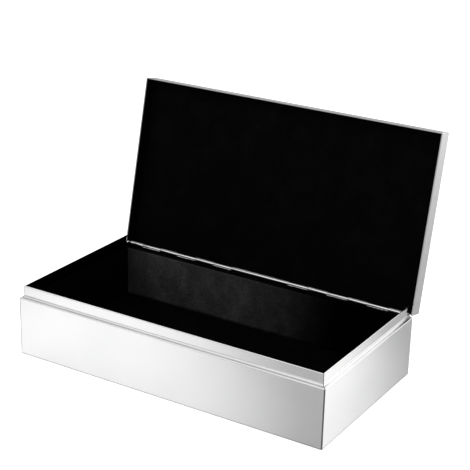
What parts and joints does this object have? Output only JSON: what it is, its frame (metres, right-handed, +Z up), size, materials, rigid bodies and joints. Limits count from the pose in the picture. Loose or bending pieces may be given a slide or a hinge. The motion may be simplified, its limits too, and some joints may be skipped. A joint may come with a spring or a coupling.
{
  "type": "hinged trinket box",
  "caption": "Long low box in polished sheet metal with a stepped raised rim, a shallow tray lid on a full-length piano hinge and a black velvet lining.",
  "frame": {"origin": "middle of the base's footprint, on the surface that the box stands on", "axes": "+X along the length, to the right seen from the front; +Y from the front to the hinged back; +Z up"},
  "size_m": [0.3, 0.2049, 0.2095],
  "materials": {
    "polished_metal": "mirror-polished nickel plate",
    "hinge_metal": "bright nickel plate, drawn, not buffed",
    "velvet": "short-pile velvet",
    "lining_board": "plain dark card",
    "base_felt": "pressed felt"
  },
  "bodies": {
    "base": {"base_back_board": "lining_board", "base_back_velvet": "velvet", "base_back_wall": "polished_metal", "base_bottom_plate": "polished_metal", "base_felt": "base_felt", "base_floor_board": "lining_board", "base_floor_velvet": "velvet", "base_front_board": "lining_board", "base_front_velvet": "velvet", "base_front_wall": "polished_metal", "base_left_board": "lining_board", "base_left_velvet": "velvet", "base_left_wall": "polished_metal", "base_right_board": "lining_board", "base_right_velvet": "velvet", "base_right_wall": "polished_metal", "hinge_base_leaf": "hinge_metal", "hinge_pin": "hinge_metal"},
    "lid": {"hinge_lid_leaf": "hinge_metal", "lid_back_lining": "velvet", "lid_back_skirt": "polished_metal", "lid_board": "lining_board", "lid_front_lining": "velvet", "lid_front_skirt": "polished_metal", "lid_left_lining": "velvet", "lid_left_skirt": "polished_metal", "lid_right_lining": "velvet", "lid_right_skirt": "polished_metal", "lid_top_plate": "polished_metal", "lid_velvet": "velvet"}
  },
  "joints": [
    {"name": "lid_hinge", "type": "hinge", "parent": "base", "child": "lid", "pos_m": [0, 0.07875, 0.0552], "axis": [1, 0, 0], "range_deg": [0, 102.5]}
  ]
}
